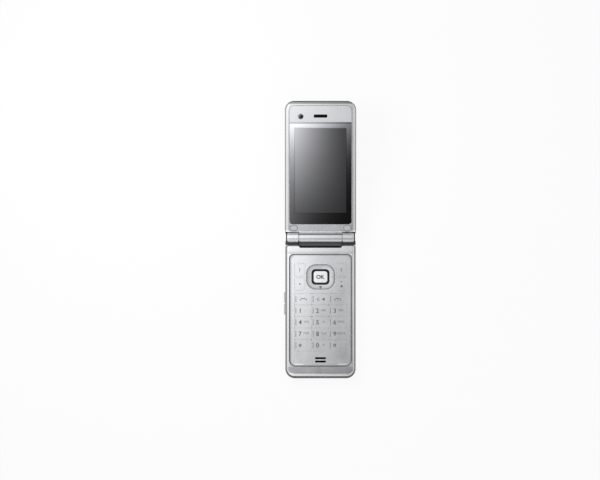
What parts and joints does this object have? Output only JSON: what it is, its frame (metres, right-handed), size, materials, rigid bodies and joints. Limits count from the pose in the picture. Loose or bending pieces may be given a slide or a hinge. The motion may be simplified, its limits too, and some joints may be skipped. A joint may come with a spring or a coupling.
{
  "type": "flip phone",
  "caption": "Clamshell mobile phone with a hinged display lid, a flush keypad with a navigation ring, a side volume rocker and a sliding battery cover.",
  "frame": {"origin": "middle of the base's flat back, on the battery cover's plane", "axes": "+X across the phone to the right, +Y from the base through the hinge towards the lid's free end, +Z out of the keypad. The lid is open."},
  "size_m": [0.0525, 0.202, 0.0373],
  "materials": {
    "silver_shell": "silver paint, satin",
    "silver_frame": "silver paint on a cast frame, satin",
    "silver_bezel": "silver paint, satin gloss",
    "silver_plate": "fine brushed, clear coated",
    "silver_key": "silver paint under a hard clear coat",
    "silver_side_key": "silver paint under a hard clear coat",
    "silver_ring": "silver paint, satin",
    "silver_volume": "silver paint, satin",
    "ok_key": "dark clear border around a pale metallic cap",
    "blue_shell": "dark blue satin paint",
    "blue_cover": "dark blue satin paint",
    "gloss_blue": "banded blue metallic under deep clear coat",
    "port_flap": "satin silver elastomer",
    "key_rubber": "matte silicone",
    "dome_film": "clear film with steel domes",
    "board_green": "solder mask",
    "tin_plate": "tinned sheet",
    "socket_steel": "plated sheet",
    "screw_steel": "plated",
    "hinge_steel": "ground",
    "motor_steel": "plated can",
    "battery_can": "drawn can with plain film",
    "contact_gold": "plated",
    "dark_plastic": "moulded",
    "dark_grille": "fine mesh and rubber",
    "dark_cap": "moulded, satin",
    "antenna_plastic": "moulded carrier with plated track",
    "camera_glass": "tinted",
    "lens_glass": "dark coated",
    "display_glass": "dark, reflective",
    "display_cell": "liquid crystal cell",
    "bumper_rubber": "soft grey",
    "flex_amber": "polyimide ribbon"
  },
  "bodies": {
    "base": {"base_front_shell": "silver_shell", "base_rear_shell": "blue_shell", "base_screws": "screw_steel", "keypad_plate": "silver_plate", "keypad_mat": "key_rubber", "dome_sheet": "dome_film", "main_board": "board_green", "shield_cans": "tin_plate", "sim_holder": "tin_plate", "battery": "battery_can", "battery_contacts": "contact_gold", "charge_socket": "socket_steel", "microphone": "dark_grille", "loudspeaker": "dark_plastic", "vibration_motor": "motor_steel", "rear_camera": "dark_plastic", "rear_camera_window": "camera_glass", "antenna": "antenna_plastic", "volume_switch": "board_green", "hinge_cartridge": "hinge_steel", "hinge_bush": "hinge_steel", "hinge_caps": "dark_cap"},
    "lid": {"lid_frame": "silver_frame", "lid_cover": "gloss_blue", "lid_bezel": "silver_bezel", "display_window": "display_glass", "display_panel": "display_cell", "front_camera_lens": "lens_glass", "front_camera": "dark_plastic", "earpiece": "dark_plastic", "earpiece_grille": "dark_grille", "lid_board": "board_green", "lid_bumpers": "bumper_rubber", "lid_screws": "screw_steel", "hinge_flex": "flex_amber"},
    "send_key": {"send_key": "silver_key"},
    "clear_key": {"clear_key": "silver_key"},
    "end_key": {"end_key": "silver_key"},
    "key_1": {"key_1": "silver_key"},
    "key_2": {"key_2": "silver_key"},
    "key_3": {"key_3": "silver_key"},
    "key_4": {"key_4": "silver_key"},
    "key_5": {"key_5": "silver_key"},
    "key_6": {"key_6": "silver_key"},
    "key_7": {"key_7": "silver_key"},
    "key_8": {"key_8": "silver_key"},
    "key_9": {"key_9": "silver_key"},
    "key_star": {"key_star": "silver_key"},
    "key_0": {"key_0": "silver_key"},
    "key_hash": {"key_hash": "silver_key"},
    "soft_key_left": {"soft_key_left": "silver_side_key"},
    "soft_key_right": {"soft_key_right": "silver_side_key"},
    "shortcut_key_left": {"shortcut_key_left": "silver_side_key"},
    "shortcut_key_right": {"shortcut_key_right": "silver_side_key"},
    "ok_key": {"ok_key": "ok_key"},
    "nav_pad": {"nav_pad": "key_rubber"},
    "nav_ring": {"nav_ring": "silver_ring"},
    "volume_key": {"volume_key": "silver_volume"},
    "port_cover": {"port_cover": "port_flap"},
    "battery_cover": {"battery_cover": "blue_cover"}
  },
  "joints": [
    {"name": "lid_hinge", "type": "hinge", "parent": "base", "child": "lid", "pos_m": [0, 0.0513, 0.0095], "axis": [1, 0, 0], "range_deg": [0, 164]},
    {"name": "send_key_press", "type": "slide", "parent": "base", "child": "send_key", "axis": [0, 0, -1], "range_m": [0, 0.0003], "stiffness_N_per_m": 500},
    {"name": "clear_key_press", "type": "slide", "parent": "base", "child": "clear_key", "axis": [0, 0, -1], "range_m": [0, 0.0003], "stiffness_N_per_m": 500},
    {"name": "end_key_press", "type": "slide", "parent": "base", "child": "end_key", "axis": [0, 0, -1], "range_m": [0, 0.0003], "stiffness_N_per_m": 500},
    {"name": "key_1_press", "type": "slide", "parent": "base", "child": "key_1", "axis": [0, 0, -1], "range_m": [0, 0.0003], "stiffness_N_per_m": 500},
    {"name": "key_2_press", "type": "slide", "parent": "base", "child": "key_2", "axis": [0, 0, -1], "range_m": [0, 0.0003], "stiffness_N_per_m": 500},
    {"name": "key_3_press", "type": "slide", "parent": "base", "child": "key_3", "axis": [0, 0, -1], "range_m": [0, 0.0003], "stiffness_N_per_m": 500},
    {"name": "key_4_press", "type": "slide", "parent": "base", "child": "key_4", "axis": [0, 0, -1], "range_m": [0, 0.0003], "stiffness_N_per_m": 500},
    {"name": "key_5_press", "type": "slide", "parent": "base", "child": "key_5", "axis": [0, 0, -1], "range_m": [0, 0.0003], "stiffness_N_per_m": 500},
    {"name": "key_6_press", "type": "slide", "parent": "base", "child": "key_6", "axis": [0, 0, -1], "range_m": [0, 0.0003], "stiffness_N_per_m": 500},
    {"name": "key_7_press", "type": "slide", "parent": "base", "child": "key_7", "axis": [0, 0, -1], "range_m": [0, 0.0003], "stiffness_N_per_m": 500},
    {"name": "key_8_press", "type": "slide", "parent": "base", "child": "key_8", "axis": [0, 0, -1], "range_m": [0, 0.0003], "stiffness_N_per_m": 500},
    {"name": "key_9_press", "type": "slide", "parent": "base", "child": "key_9", "axis": [0, 0, -1], "range_m": [0, 0.0003], "stiffness_N_per_m": 500},
    {"name": "key_star_press", "type": "slide", "parent": "base", "child": "key_star", "axis": [0, 0, -1], "range_m": [0, 0.0003], "stiffness_N_per_m": 500},
    {"name": "key_0_press", "type": "slide", "parent": "base", "child": "key_0", "axis": [0, 0, -1], "range_m": [0, 0.0003], "stiffness_N_per_m": 500},
    {"name": "key_hash_press", "type": "slide", "parent": "base", "child": "key_hash", "axis": [0, 0, -1], "range_m": [0, 0.0003], "stiffness_N_per_m": 500},
    {"name": "soft_key_left_press", "type": "slide", "parent": "base", "child": "soft_key_left", "axis": [0, 0, -1], "range_m": [0, 0.0003], "stiffness_N_per_m": 500},
    {"name": "soft_key_right_press", "type": "slide", "parent": "base", "child": "soft_key_right", "axis": [0, 0, -1], "range_m": [0, 0.0003], "stiffness_N_per_m": 500},
    {"name": "shortcut_key_left_press", "type": "slide", "parent": "base", "child": "shortcut_key_left", "axis": [0, 0, -1], "range_m": [0, 0.0003], "stiffness_N_per_m": 500},
    {"name": "shortcut_key_right_press", "type": "slide", "parent": "base", "child": "shortcut_key_right", "axis": [0, 0, -1], "range_m": [0, 0.0003], "stiffness_N_per_m": 500},
    {"name": "ok_key_press", "type": "slide", "parent": "base", "child": "ok_key", "axis": [0, 0, -1], "range_m": [0, 0.0003], "stiffness_N_per_m": 500},
    {"name": "nav_rock_up_down", "type": "hinge", "parent": "base", "child": "nav_pad", "pos_m": [0, 0.0226, 0.0083], "axis": [1, 0, 0], "range_deg": [-1.2, 1.2], "stiffness_Nm_per_rad": 0.05},
    {"name": "nav_rock_left_right", "type": "hinge", "parent": "nav_pad", "child": "nav_ring", "pos_m": [0, 0.0226, 0.0083], "axis": [0, 1, 0], "range_deg": [-1.2, 1.2], "stiffness_Nm_per_rad": 0.05},
    {"name": "volume_rock", "type": "hinge", "parent": "base", "child": "volume_key", "pos_m": [-0.0247, 0.0034, 0.00615], "axis": [0, 0, 1], "range_deg": [-1.5, 1.5], "stiffness_Nm_per_rad": 0.05},
    {"name": "port_cover_flap", "type": "hinge", "parent": "base", "child": "port_cover", "pos_m": [0.0256, 0.0053, 0.0043], "axis": [0, 0, -1], "range_deg": [0, 100]},
    {"name": "battery_cover_slide", "type": "slide", "parent": "base", "child": "battery_cover", "axis": [0, -1, 0], "range_m": [0, 0.004]}
  ]
}
